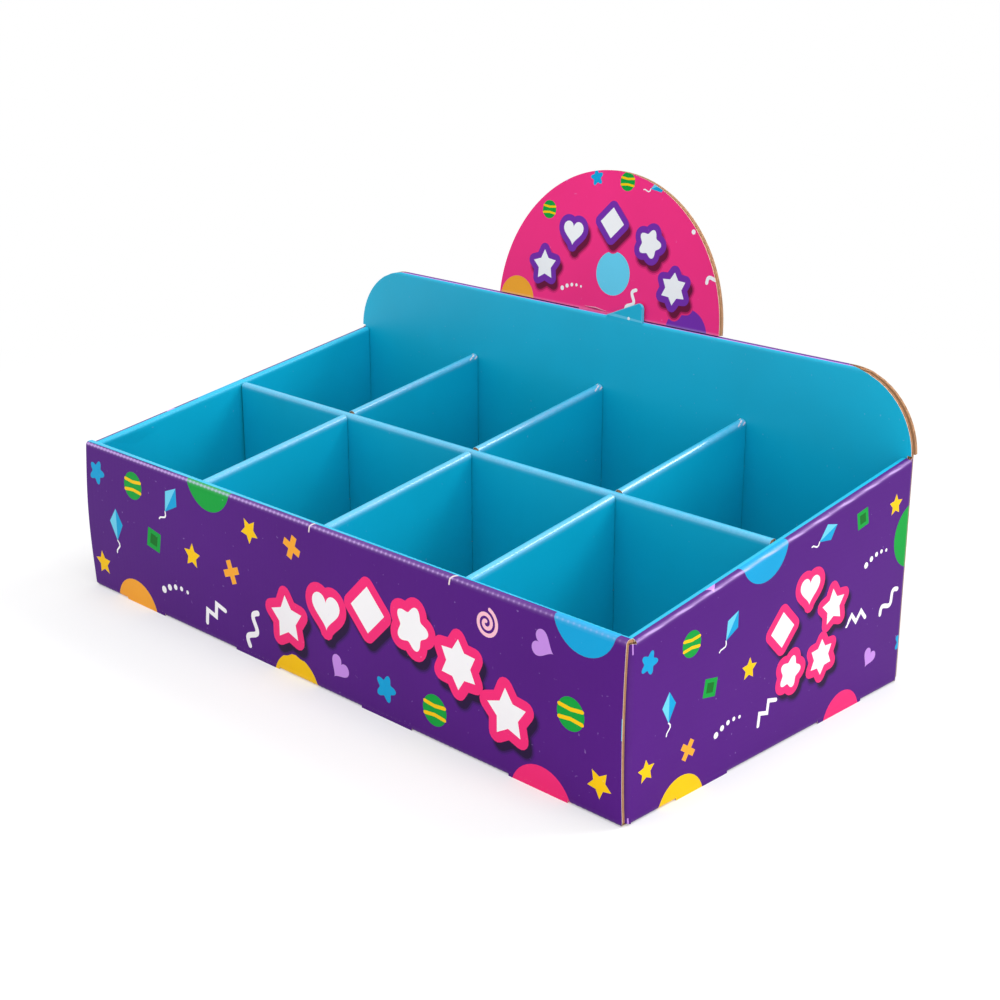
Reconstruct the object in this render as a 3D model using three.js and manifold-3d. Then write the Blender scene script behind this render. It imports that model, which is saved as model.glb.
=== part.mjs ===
// Counter display box: a folded corrugated tray with interlocking dividers and a round header card.
// Millimetres. +Z is up, the front wall faces -Y, and the origin is the centre of the tray's underside.

import * as THREE from 'three';
import { mergeVertices } from 'three/addons/utils/BufferGeometryUtils.js';
import Module from 'manifold-3d';

const wasm = await Module();
wasm.setup();

// Board, its folds, and the gaps between its layers in each wall
const board = 1.6;
const foldInside = 0.4;
const flapFoldInside = 1.4;
const dividerFoldInside = 0.8;
const frontLayerGap = 0.3;
const backLayerGap = 0.3;
const sideHollow = 2.8;
const fit = 0.3;

// Tray
const width = 400;
const depth = 212;
const frontHeight = 86;
const sideFrontHeight = 84;
const sideBackHeight = 118.5;
const backHeight = 157;
const backCornerRadius = 40;
const flapLength = 62;
const panelInset = 2;
const tabLength = 34;
const tabSpare = 1;

// Keeper: a slanted tab that stands up from the back wall's top fold, in front of the header card
const keeperLeft = 4;
const keeperWidth = 25.5;
const keeperHeight = 9.7;
const keeperCorner = 3;

// Dividers
const columns = 4;
const rows = 2;
const dividerThickness = 5.2;
const dividerPitch = 99;
const longDividerOffset = 1;
const dividerFrontHeight = 84;
const dividerBackHeight = 117.4;
const dividerEndGap = 1.2;

// Header card: two glued boards, with a tongue of one board
const headerDiameter = 160;
const headerGlue = 0.4;
const headerLeanDegrees = 7;
const headerCentreDrop = 2.5;
const tongueWidth = 36;
const tongueDepth = 24;

// Colours and finish
const printPurple = 0x5c2290;
const insideTeal = 0x0098b9;
const headerPink = 0xf73984;
const printRoughness = 0.42;

// Sizes that follow
const halfWidth = width / 2;
const halfDepth = depth / 2;
const foldRadius = board + foldInside;
const flapFoldRadius = board + flapFoldInside;
const dividerFoldRadius = board + dividerFoldInside;
const frontWall = 3 * board + 2 * frontLayerGap;
const backWall = 3 * board + 2 * backLayerGap;
const sideWall = 2 * board + sideHollow;
const frontInner = -halfDepth + frontWall;
const backInner = halfDepth - backWall;
const sideInner = halfWidth - sideWall;
const frontFlapFace = -halfDepth + board + frontLayerGap;
const backFlapFace = halfDepth - board - backLayerGap;
const innerPanelHalf = halfWidth - board - 2 * fit;
const sideSlope = (sideBackHeight - sideFrontHeight) / depth;
const dividerSlope = (dividerBackHeight - dividerFrontHeight) / (backInner - frontInner);
const arcSteps = 6;
const cornerSteps = 12;
const headerSteps = 72;
const beyond = 10;

function sideTopAt(y) {
  return sideFrontHeight + sideSlope * (y + halfDepth);
}

function dividerTopAt(y) {
  return dividerFrontHeight + dividerSlope * (y - frontInner);
}

function at(u, v) {
  return new THREE.Vector2(u, v);
}

// Solids

function solidOf(geometry) {
  geometry.deleteAttribute('normal');
  geometry.deleteAttribute('uv');
  const merged = mergeVertices(geometry, 1e-5);
  return new wasm.Manifold(new wasm.Mesh({
    numProp: 3,
    vertProperties: new Float32Array(merged.attributes.position.array),
    triVerts: new Uint32Array(merged.index.array),
  }));
}

function extruded(shape, length, steps) {
  return new THREE.ExtrudeGeometry(shape, { depth: length, bevelEnabled: false, curveSegments: steps });
}

// An outline drawn in (y, z), carried along X from low to high
function alongX(shape, low, high) {
  const geometry = extruded(shape, high - low, arcSteps);
  const place = new THREE.Matrix4().makeBasis(
    new THREE.Vector3(0, 1, 0), new THREE.Vector3(0, 0, 1), new THREE.Vector3(1, 0, 0));
  geometry.applyMatrix4(place.setPosition(low, 0, 0));
  return solidOf(geometry);
}

// An outline drawn in (x, z), carried along Y from low to high, rising by slope on the way
function alongY(shape, low, high, slope = 0, steps = arcSteps) {
  const geometry = extruded(shape, high - low, steps);
  const place = new THREE.Matrix4().makeBasis(
    new THREE.Vector3(1, 0, 0), new THREE.Vector3(0, 0, 1), new THREE.Vector3(0, -1, 0));
  geometry.applyMatrix4(place.setPosition(0, high, 0));
  geometry.applyMatrix4(new THREE.Matrix4().makeShear(0, 0, 0, slope, 0, 0));
  return solidOf(geometry);
}

// An outline drawn in (x, y), carried up Z from low to high
function alongZ(shape, low, high) {
  const geometry = extruded(shape, high - low, arcSteps);
  geometry.translate(0, 0, low);
  return solidOf(geometry);
}

function block(x0, x1, y0, y1, z0, z1) {
  const geometry = new THREE.BoxGeometry(x1 - x0, y1 - y0, z1 - z0);
  geometry.translate((x0 + x1) / 2, (y0 + y1) / 2, (z0 + z1) / 2);
  return solidOf(geometry);
}

function withMirror(solid) {
  return solid.add(solid.mirror([1, 0, 0]));
}

// Cross-section of a folded board. Its outer face follows the points, every bend is round and turns
// the same way, and the board's thickness lies on the inside of the bends.
function foldedStrip(points, radius) {
  const directions = [];
  for (let i = 0; i + 1 < points.length; i += 1) {
    directions.push(points[i + 1].clone().sub(points[i]).normalize());
  }
  const turn = Math.sign(directions[0].cross(directions[1]));
  const inward = directions.map((d) => at(-d.y * turn, d.x * turn));
  const last = points.length - 1;
  const outer = [points[0].clone()];
  const inner = [points[0].clone().addScaledVector(inward[0], board)];
  for (let i = 1; i < last; i += 1) {
    const from = Math.atan2(-inward[i - 1].y, -inward[i - 1].x);
    const sweep = directions[i - 1].angleTo(directions[i]);
    const centre = points[i].clone()
      .addScaledVector(directions[i - 1], -radius * Math.tan(sweep / 2))
      .addScaledVector(inward[i - 1], radius);
    for (let k = 0; k <= arcSteps; k += 1) {
      const angle = from + turn * sweep * k / arcSteps;
      const spoke = at(Math.cos(angle), Math.sin(angle));
      outer.push(centre.clone().addScaledVector(spoke, radius));
      inner.push(centre.clone().addScaledVector(spoke, radius - board));
    }
  }
  outer.push(points[last].clone());
  inner.push(points[last].clone().addScaledVector(inward[last - 1], board));
  return new THREE.Shape([...outer, ...inner.reverse()]);
}

// Tray: front wall

function frontRoll() {
  const section = foldedStrip([
    at(-halfDepth / 2, 0),
    at(-halfDepth, 0),
    at(-halfDepth, frontHeight),
    at(frontInner, frontHeight),
    at(frontInner, board + fit),
  ], foldRadius);
  const roll = alongX(section, -halfWidth + panelInset, halfWidth - panelInset);
  return roll.subtract(innerPanelEnds(frontInner - board - fit, frontInner + fit, frontHeight - foldRadius));
}

// What is cut from both ends of an inner panel, so that it fits between the side walls
function innerPanelEnds(y0, y1, top) {
  return withMirror(block(innerPanelHalf, halfWidth + beyond, y0, y1, -beyond, top));
}

// Tray: back wall

function backRoll() {
  const section = foldedStrip([
    at(halfDepth / 2, 0),
    at(halfDepth, 0),
    at(halfDepth, backHeight),
    at(backInner, backHeight),
    at(backInner, board + fit),
  ], foldRadius);
  const shoulder = sideTopAt(halfDepth) + fit;
  return alongX(section, -halfWidth, halfWidth)
    .subtract(innerPanelEnds(backInner - fit, backInner + board + fit, shoulder))
    .subtract(outerPanelEnds(shoulder))
    .subtract(roundCorners())
    .subtract(headerSlit())
    .add(keeper());
}

// Below its shoulders the outer panel stops short of the corners, beside the side walls' folds
function outerPanelEnds(top) {
  const inset = halfWidth - panelInset;
  return withMirror(block(inset, halfWidth + beyond, 0, halfDepth + beyond, -beyond, top));
}

// What is cut off to round the two top corners
function roundCorners() {
  const centreX = halfWidth - backCornerRadius;
  const centreZ = backHeight - backCornerRadius;
  const shape = new THREE.Shape();
  shape.moveTo(halfWidth, centreZ);
  shape.absarc(centreX, centreZ, backCornerRadius, 0, Math.PI / 2);
  shape.lineTo(centreX, backHeight + beyond);
  shape.lineTo(halfWidth + beyond, backHeight + beyond);
  shape.lineTo(halfWidth + beyond, centreZ);
  return withMirror(alongY(shape, backInner - beyond, halfDepth + beyond, 0, cornerSteps));
}

// The slit in the top fold that takes the header card's tongue
function headerSlit() {
  const reach = tongueWidth / 2 + fit;
  return block(-reach, reach, backInner + board, halfDepth - board, backHeight - 2 * foldRadius, backHeight + fit);
}

// The keeper is cut out of the inner panel's board, so it stands in that panel's plane
function keeper() {
  const right = keeperLeft + keeperWidth;
  const root = backHeight - foldRadius;
  const top = backHeight + keeperHeight;
  const shape = new THREE.Shape();
  shape.moveTo(keeperLeft, root);
  shape.lineTo(right, root);
  shape.lineTo(right, top - keeperCorner);
  shape.quadraticCurveTo(right, top, right - keeperCorner, top);
  shape.lineTo(keeperLeft, backHeight);
  return alongY(shape, backInner, backInner + board);
}

// Tray: side walls, drawn on the right

function sideRoll() {
  const low = frontFlapFace + flapFoldRadius;
  const high = backFlapFace - flapFoldRadius;
  const foot = foldedStrip([
    at(halfWidth / 2, 0),
    at(halfWidth, 0),
    at(halfWidth, frontHeight / 2),
  ], foldRadius);
  const top = sideTopAt(0);
  const legFoot = -sideSlope * depth;
  const over = foldedStrip([
    at(halfWidth, legFoot),
    at(halfWidth, top),
    at(sideInner, top),
    at(sideInner, legFoot),
  ], foldRadius);
  const panelBack = halfWidth - board - fit;
  const rolled = alongY(over, low, high, sideSlope)
    .subtract(block(0, halfWidth + beyond, -depth, depth, -depth, foldRadius))
    .subtract(block(0, panelBack, -depth, frontInner + fit, -beyond, backHeight))
    .subtract(block(0, panelBack, backInner - fit, depth, -beyond, backHeight))
    .subtract(block(0, halfWidth + beyond, -depth, frontInner + fit, flapTopFront(), backHeight));
  return alongY(foot, low, high).add(rolled);
}

// The front flaps end under the front wall's top fold
function flapTopFront() {
  return frontHeight - board - fit;
}

// A flap that folds round a vertical corner and lies between the panels of the front or back wall
function cornerFlap(face, towardsMiddle, top) {
  const section = foldedStrip([
    at(halfWidth, face + towardsMiddle * 2 * flapFoldRadius),
    at(halfWidth, face),
    at(halfWidth - flapLength, face),
  ], flapFoldRadius);
  return alongZ(section, board + fit, top);
}

// Tray: lock tabs at the feet of the inner panels

// A box placed by its stretch along a wall and how far in it lies from the wall's outer face
function wallBlock(wall, low, high, outside, inside, z0, z1) {
  if (wall === 'front') {
    return block(low, high, -halfDepth + outside, -halfDepth + inside, z0, z1);
  }
  if (wall === 'back') {
    return block(low, high, halfDepth - inside, halfDepth - outside, z0, z1);
  }
  return block(halfWidth - inside, halfWidth - outside, low, high, z0, z1);
}

// One tab, the slot cut for it through the base fold, and the outer panel's square edge at the slot
function lockTab(wall, centre, thickness) {
  const half = tabLength / 2;
  const slotHalf = half + tabSpare;
  const top = foldRadius + board;
  return {
    slot: wallBlock(wall, centre - slotHalf, centre + slotHalf, -beyond, thickness + fit, -beyond, foldRadius),
    edge: wallBlock(wall, centre - slotHalf, centre + slotHalf, 0, board, 0, top),
    tab: wallBlock(wall, centre - half, centre + half, thickness - board, thickness, 0, top),
  };
}

function lockTabs() {
  const tabs = [];
  for (let i = 0; i < columns; i += 1) {
    const x = -halfWidth + width * (i + 0.5) / columns;
    tabs.push(lockTab('front', x, frontWall));
    tabs.push(lockTab('back', x, backWall));
  }
  for (let j = 0; j < rows; j += 1) {
    const right = lockTab('right', -halfDepth + depth * (j + 0.5) / rows, sideWall);
    tabs.push({ slot: withMirror(right.slot), edge: withMirror(right.edge), tab: withMirror(right.tab) });
  }
  return tabs;
}

function traySolid() {
  const floorHalfX = halfWidth - foldRadius;
  const floorHalfY = halfDepth - foldRadius;
  let tray = block(-floorHalfX, floorHalfX, -floorHalfY, floorHalfY, 0, board)
    .add(frontRoll())
    .add(backRoll())
    .add(withMirror(sideRoll()))
    .add(withMirror(cornerFlap(frontFlapFace, 1, flapTopFront())))
    .add(withMirror(cornerFlap(backFlapFace, -1, sideTopAt(backInner))));
  for (const { slot, edge, tab } of lockTabs()) {
    tray = tray.subtract(slot).add(edge).add(tab);
  }
  return tray;
}

// Dividers, each folded double with its fold on top

function crossX(i) {
  return dividerPitch * (i - columns / 2);
}

function longY(j) {
  return frontInner + (backInner - frontInner) * j / rows + longDividerOffset;
}

// How high the half-lap between a long and a cross divider lies
function lapHeight(y) {
  return (board + fit + dividerTopAt(y)) / 2;
}

function doubledStrip(centre, foot, top) {
  const half = dividerThickness / 2;
  return foldedStrip([
    at(centre + half, foot),
    at(centre + half, top),
    at(centre - half, top),
    at(centre - half, foot),
  ], dividerFoldRadius);
}

function longDivider(j) {
  const y = longY(j);
  const reach = sideInner - dividerEndGap;
  const slotHalf = dividerThickness / 2 + fit;
  let divider = alongX(doubledStrip(y, board + fit, dividerTopAt(y)), -reach, reach);
  for (let i = 1; i < columns; i += 1) {
    const x = crossX(i);
    divider = divider.subtract(
      block(x - slotHalf, x + slotHalf, y - beyond, y + beyond, -beyond, lapHeight(y) + fit / 2));
  }
  return divider;
}

function crossDivider(i) {
  const x = crossX(i);
  const low = frontInner + dividerEndGap;
  const high = backInner - dividerEndGap;
  const slotHalf = dividerThickness / 2 + fit;
  const strip = doubledStrip(x, -dividerSlope * depth, dividerTopAt(0));
  let divider = alongY(strip, low, high, dividerSlope)
    .subtract(block(x - beyond, x + beyond, -depth, depth, -depth, board + fit));
  for (let j = 1; j < rows; j += 1) {
    const y = longY(j);
    divider = divider.subtract(
      block(x - beyond, x + beyond, y - slotHalf, y + slotHalf, lapHeight(y) - fit / 2, backHeight));
  }
  return divider;
}

// Header card, leaning back from the crease above its tongue

function headerCard() {
  const radius = headerDiameter / 2;
  const thickness = 2 * board + headerGlue;
  const lean = THREE.MathUtils.degToRad(headerLeanDegrees);
  const seat = backHeight + fit + Math.sin(lean) * thickness / 2;
  const face = backInner + board + backLayerGap;
  const drop = seat - backHeight + headerCentreDrop;
  const start = Math.asin(drop / radius);
  const shape = new THREE.Shape();
  shape.absarc(0, -drop, radius, start, Math.PI - start);
  const geometry = extruded(shape, thickness, headerSteps);
  geometry.translate(0, 0, -thickness / 2);
  geometry.rotateX(Math.PI / 2 - lean);
  geometry.translate(0, face + thickness / 2, seat);
  const half = tongueWidth / 2;
  const tongue = block(-half, half, face, face + board, backHeight - tongueDepth, seat + board / 2);
  return solidOf(geometry).add(tongue);
}

// Finished pieces

function finish(color) {
  return new THREE.MeshStandardMaterial({ color, roughness: printRoughness, metalness: 0 });
}

function piece(name, solid, material) {
  const mesh = solid.getMesh();
  const geometry = new THREE.BufferGeometry();
  geometry.setAttribute('position', new THREE.BufferAttribute(mesh.vertProperties, mesh.numProp));
  geometry.setIndex(new THREE.BufferAttribute(mesh.triVerts, 1));
  geometry.computeVertexNormals();
  const made = new THREE.Mesh(geometry, material);
  made.name = name;
  return made;
}

const displayBox = new THREE.Group();
displayBox.add(piece('tray', traySolid(), finish(printPurple)));
for (let j = 1; j < rows; j += 1) {
  displayBox.add(piece(`long_divider_${j}`, longDivider(j), finish(insideTeal)));
}
for (let i = 1; i < columns; i += 1) {
  displayBox.add(piece(`cross_divider_${i}`, crossDivider(i), finish(insideTeal)));
}
displayBox.add(piece('header_card', headerCard(), finish(headerPink)));

export default displayBox;
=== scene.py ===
import math

import bpy
import numpy as np
from mathutils.geometry import delaunay_2d_cdt
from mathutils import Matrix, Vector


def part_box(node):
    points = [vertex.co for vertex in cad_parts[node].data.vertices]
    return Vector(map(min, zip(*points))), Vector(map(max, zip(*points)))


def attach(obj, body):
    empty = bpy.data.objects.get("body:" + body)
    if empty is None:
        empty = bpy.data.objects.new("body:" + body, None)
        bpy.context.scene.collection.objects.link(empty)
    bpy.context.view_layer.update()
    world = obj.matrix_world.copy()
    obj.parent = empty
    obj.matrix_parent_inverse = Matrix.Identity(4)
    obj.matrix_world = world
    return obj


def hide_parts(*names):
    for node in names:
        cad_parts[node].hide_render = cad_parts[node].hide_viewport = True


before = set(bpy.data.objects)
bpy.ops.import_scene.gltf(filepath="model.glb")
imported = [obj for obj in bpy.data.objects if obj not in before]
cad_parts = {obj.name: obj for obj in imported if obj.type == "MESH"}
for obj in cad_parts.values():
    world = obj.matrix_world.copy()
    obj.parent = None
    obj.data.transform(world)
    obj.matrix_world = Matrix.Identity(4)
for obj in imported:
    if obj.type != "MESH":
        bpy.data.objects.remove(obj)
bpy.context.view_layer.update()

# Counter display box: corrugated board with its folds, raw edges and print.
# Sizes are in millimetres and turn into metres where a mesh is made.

# Sizes of the board and its folds
MM = 0.001
BOARD = 1.6
LINER = 0.28
EDGE_RECESS = 0.3
FOLD_RADIUS = 2.0
FLAP_FOLD_RADIUS = 3.0
DIVIDER_FOLD_RADIUS = 2.4
HEADER_BEND_RADIUS = 4.0
FIT = 0.3
FLUTE_PITCH = 3.19
RIB_HEIGHT = 0.05
FOLD_STEPS = 6
CREASE_FADE = 1.2
SHARP_ANGLE = math.radians(32)

# Tray
TRAY_HIGH = np.array(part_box("tray")[1]) / MM
HALF_WIDTH = float(TRAY_HIGH[0])
HALF_DEPTH = float(TRAY_HIGH[1])
FRONT_HEIGHT = 86.0
SIDE_FRONT_HEIGHT = 84.0
SIDE_BACK_HEIGHT = 118.5
BACK_HEIGHT = 157.0
BACK_CORNER_RADIUS = 40.0
FRONT_WALL = 5.4
BACK_WALL = 5.4
SIDE_WALL = 6.0
FLAP_LENGTH = 62.0
PANEL_INSET = 2.0
EDGE_BOW = 1.2
BULGE_X = 3.6
BULGE_Y = 0.6
BULGE_REACH_X = 55.0
BULGE_REACH_Y = 60.0
FRONT_EDGE_INSET = 0.8
FRONT_ROOF_INSET = 0.9
NICKS = (0.0, 98.5)
TAB_LENGTH = 34.0
SLOT_LENGTH = 36.0
TAB_COLUMNS = (-150.0, -50.0, 50.0, 150.0)
TAB_ROWS = (-53.0, 53.0)
KEEPER_LEFT = 4.0
KEEPER_RIGHT = 29.5
KEEPER_HEIGHT = 9.7
KEEPER_CORNER = 3.0

FRONT_INNER = -HALF_DEPTH + FRONT_WALL
BACK_INNER = HALF_DEPTH - BACK_WALL
SIDE_INNER = HALF_WIDTH - SIDE_WALL
LAYER_GAP = (FRONT_WALL - 3 * BOARD) / 2
SIDE_LOW = -HALF_DEPTH + BOARD + LAYER_GAP + FLAP_FOLD_RADIUS
SIDE_HIGH = HALF_DEPTH - BOARD - LAYER_GAP - FLAP_FOLD_RADIUS
SIDE_SLOPE = (SIDE_BACK_HEIGHT - SIDE_FRONT_HEIGHT) / (2 * HALF_DEPTH)
INNER_HALF = HALF_WIDTH - BOARD - 2 * FIT
BASE_X = HALF_WIDTH - FOLD_RADIUS
BASE_Y = HALF_DEPTH - FOLD_RADIUS

# Dividers and header
DIVIDER_THICKNESS = 5.2
DIVIDER_FOOT = BOARD + FIT
DIVIDER_END_GAP = 1.2
DIVIDER_FRONT_HEIGHT = 84.0
DIVIDER_BACK_HEIGHT = 117.4
DIVIDER_SLOPE = (DIVIDER_BACK_HEIGHT - DIVIDER_FRONT_HEIGHT) / (BACK_INNER - FRONT_INNER)
CROSS_X = (-99.0, 0.0, 99.0)
LONG_Y = 1.0
HEADER_RADIUS = 80.0
HEADER_LEAN = math.radians(7)
HEADER_GLUE = 0.4
HEADER_DROP = 2.5
TONGUE_HALF = 18.0
TONGUE_DEPTH = 24.0

# Print colours, as they look on the board. Some also serve as painted light: lilac for a highlight line on
# the back crest, teal_light and white round the keeper, pale_pink and blush_2 for a highlight and a shade
# line in the header's bend.
INKS = {
    "purple": (80, 16, 124),
    "teal": (0, 182, 218),
    "teal_light": (96, 204, 236),
    "pink": (247, 40, 118),
    "header_pink": (248, 48, 130),
    "yellow": (255, 198, 0),
    "orange": (255, 168, 48),
    "green": (0, 158, 58),
    "dark_green": (0, 112, 30),
    "sky": (0, 160, 214),
    "violet": (116, 44, 166),
    "lilac": (196, 140, 226),
    "pale_pink": (255, 190, 206),
    "white": (250, 246, 250),
    "shade_1": (70, 15, 114),
    "shade_2": (54, 11, 88),
    "shade_3": (34, 7, 56),
    "blush_1": (222, 40, 116),
    "blush_2": (170, 26, 88),
    "blush_3": (104, 12, 56),
    "bare": (236, 218, 214),
}
SHADES = ("shade_1", "shade_2", "shade_3")
BLUSHES = ("blush_1", "blush_2", "blush_3")
KRAFT_LINER = (186, 134, 88)
KRAFT_CORE = (206, 142, 92)
# Painted shade for the hollows between the flutes at a raw edge
FLUTE_HOLLOW_SHADE = (128, 78, 46)
LINER_EDGE = (226, 206, 184)
FIBRE_DARK = (60, 30, 10)
FIBRE_PALE = (255, 240, 215)
# The pale lilac that folds, glints and dust lighten toward: painted highlight together with rubbed ink and
# dust
LIGHTENING_TINT = (228, 205, 255)


def linear(rgb):
    """Colour numbers as Blender's shaders take them."""
    return tuple(((c / 255 + 0.055) / 1.055) ** 2.4 if c > 10 else c / 255 / 12.92 for c in rgb) + (1.0,)


# Camera, at the photo's angle

CAMERA_PLACE = (0.6224, -0.6061, 0.3689)
CAMERA_PITCH = 0.328
CAMERA_YAW = 0.781
CAMERA_LENS = 62.79
SENSOR = 36.0


def add_camera():
    data = bpy.data.cameras.new("camera")
    data.sensor_fit = "HORIZONTAL"
    data.sensor_width = SENSOR
    data.lens = CAMERA_LENS
    camera = bpy.data.objects.new("camera", data)
    camera.location = CAMERA_PLACE
    camera.rotation_euler = (math.pi / 2 - CAMERA_PITCH, 0, CAMERA_YAW)
    bpy.context.scene.collection.objects.link(camera)
    bpy.context.scene.camera = camera


# Materials

class Nodes:
    """Short calls for building a material's node tree."""

    def __init__(self, name):
        self.material = bpy.data.materials.new(name)
        self.material.use_nodes = True
        self.tree = self.material.node_tree
        self.shader = self.tree.nodes["Principled BSDF"]

    def add(self, kind, **settings):
        node = self.tree.nodes.new(kind)
        for key, value in settings.items():
            setattr(node, key, value)
        return node

    def link(self, source, target):
        self.tree.links.new(source, target)

    def math(self, operation, first, second=0.0):
        node = self.add("ShaderNodeMath", operation=operation)
        for socket, value in zip(node.inputs, (first, second)):
            if isinstance(value, (int, float)):
                socket.default_value = value
            else:
                self.link(value, socket)
        return node.outputs[0]

    def noise(self, scale, detail=2.0, roughness=0.5):
        node = self.add("ShaderNodeTexNoise")
        node.inputs["Scale"].default_value = scale
        node.inputs["Detail"].default_value = detail
        node.inputs["Roughness"].default_value = roughness
        self.link(self.add("ShaderNodeTexCoord").outputs["Object"], node.inputs["Vector"])
        return node.outputs["Fac"]

    def flute_wave(self):
        """A wave from -1 to 1 that follows the flutes under the liner, and the way across the board."""
        split = self.add("ShaderNodeSeparateXYZ")
        self.link(self.add("ShaderNodeUVMap", uv_map="board").outputs["UV"], split.inputs[0])
        turns = self.math("MULTIPLY", split.outputs["X"], 2 * math.pi / FLUTE_PITCH)
        return self.math("SINE", turns), split.outputs["Y"]

    def mix(self, factor, first, second):
        node = self.add("ShaderNodeMix", data_type="RGBA")
        self.link(factor, node.inputs["Factor"])
        for socket, value in ((node.inputs["A"], first), (node.inputs["B"], second)):
            if isinstance(value, tuple):
                socket.default_value = value
            else:
                self.link(value, socket)
        return node.outputs["Result"]

    def bump(self, height, strength, distance):
        node = self.add("ShaderNodeBump")
        node.inputs["Strength"].default_value = strength
        node.inputs["Distance"].default_value = distance
        self.link(height, node.inputs["Height"])
        self.link(node.outputs["Normal"], self.shader.inputs["Normal"])


PRINT_ROUGHNESS = 0.42
PRINT_SPECULAR = 0.09
TEAL_SPECULAR = 0.32
# Lightening along the folds: partly rubbed and stretched ink, partly a painted highlight. The glint numbers
# set painted highlight lines with flute-spaced dots: the fold, the place across it, and the strength at the
# left and right ends.
CREASE_HIGHLIGHT_AND_RUBBING = 0.26
CREASE_GLOSS = 0.4
GLINT_DOTS = 0.9
GLINT_LINE = 0.5
GLINT_HALF = 0.8
FRONT_GLINT = (1, 1 / 3, 1.9, 0.2)
SIDE_GLINT = (1, 1 / 3, 1.3, 1.1)
CREASE_POLISH = 0.14
CLOUD_SCALE = 14.0
PATCH_SCALE = 60.0
SPECKLE_SCALE = 420.0
GRAIN_SCALE = 1500.0
DUST_SCALE = 560.0
DUST_LEVEL = 0.83
DUST_GAIN = 3.0
LIGHTENING_SHARE = 0.75
LIGHTENING_MOST = 0.9
FLUTE_HALF = 0.16


def blended(rgb, other, share):
    return tuple(a + (b - a) * share for a, b in zip(rgb, other))


def print_material(name):
    """Satin varnished ink on a smooth liner, lightened along the folds partly by rubbing and stretching and
    partly as a painted highlight, with painted glint lines and dots and a few flecks of dust.
    """
    rgb = INKS[name]
    nodes = Nodes("print_" + name)
    cloud = nodes.noise(CLOUD_SCALE, 3.0)
    darker = linear(blended(rgb, (0, 0, 0), 0.07))
    lighter = linear(tuple(min(c * 1.05, 255) for c in rgb))
    shade = nodes.mix(cloud, darker, lighter)
    crease = nodes.add("ShaderNodeAttribute", attribute_name="crease").outputs["Fac"]
    glint = nodes.add("ShaderNodeAttribute", attribute_name="glint").outputs["Fac"]
    wave, _ = nodes.flute_wave()
    patches = nodes.math("MULTIPLY", nodes.noise(PATCH_SCALE, 3.0), nodes.noise(SPECKLE_SCALE, 4.0, 0.7))
    speckle = nodes.math("ADD", nodes.math("MULTIPLY", patches, 2.0), 0.25)
    # Painted highlight and rubbing along the folds, then painted glint dots and a line along the glint fold,
    # then dust
    lightening = nodes.math("MULTIPLY", nodes.math("MULTIPLY", crease, speckle), CREASE_HIGHLIGHT_AND_RUBBING)
    dots = nodes.math("MULTIPLY", nodes.math("MAXIMUM", wave, 0.0), GLINT_DOTS)
    dots = nodes.math("ADD", dots, GLINT_LINE)
    lightening = nodes.math("MINIMUM", nodes.math("ADD", lightening, nodes.math("MULTIPLY", glint, dots)), LIGHTENING_MOST)
    tint = linear(blended(rgb, LIGHTENING_TINT, LIGHTENING_SHARE))
    dust = nodes.math("MAXIMUM", nodes.math("SUBTRACT", nodes.noise(DUST_SCALE, 0.0), DUST_LEVEL), 0.0)
    dust = nodes.math("MULTIPLY", dust, DUST_GAIN)
    lightening = nodes.math("MINIMUM", nodes.math("ADD", lightening, dust), LIGHTENING_MOST)
    nodes.link(nodes.mix(lightening, shade, tint), nodes.shader.inputs["Base Color"])
    grain = nodes.noise(GRAIN_SCALE, 2.0)
    rough = nodes.math("ADD", nodes.math("MULTIPLY", grain, 0.08), PRINT_ROUGHNESS - 0.04)
    rough = nodes.math("SUBTRACT", rough, nodes.math("MULTIPLY", crease, CREASE_POLISH))
    nodes.link(rough, nodes.shader.inputs["Roughness"])
    specular = TEAL_SPECULAR if name.startswith("teal") else PRINT_SPECULAR
    gloss = nodes.math("ADD", nodes.math("MULTIPLY", crease, CREASE_GLOSS), specular)
    nodes.link(gloss, nodes.shader.inputs["Specular IOR Level"])
    height = nodes.math("ADD", nodes.math("MULTIPLY", wave, 0.35), nodes.math("MULTIPLY", grain, 0.6))
    nodes.bump(height, 0.1, 0.0001)
    return nodes.material


def kraft_material(name, rgb):
    """Bare brown paper with darker and paler fibres."""
    nodes = Nodes(name)
    fibre = nodes.noise(900.0, 5.0, 0.65)
    cloud = nodes.noise(35.0, 3.0)
    spread = nodes.math("ADD", nodes.math("MULTIPLY", fibre, 0.6), nodes.math("MULTIPLY", cloud, 0.4))
    darker = linear(blended(rgb, FIBRE_DARK, 0.3))
    colour = nodes.mix(spread, darker, linear(blended(rgb, FIBRE_PALE, 0.3)))
    nodes.link(colour, nodes.shader.inputs["Base Color"])
    nodes.shader.inputs["Roughness"].default_value = 0.8
    wave, _ = nodes.flute_wave()
    nodes.bump(nodes.math("ADD", fibre, nodes.math("MULTIPLY", wave, 0.5)), 0.25, 0.0001)
    return nodes.material


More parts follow.
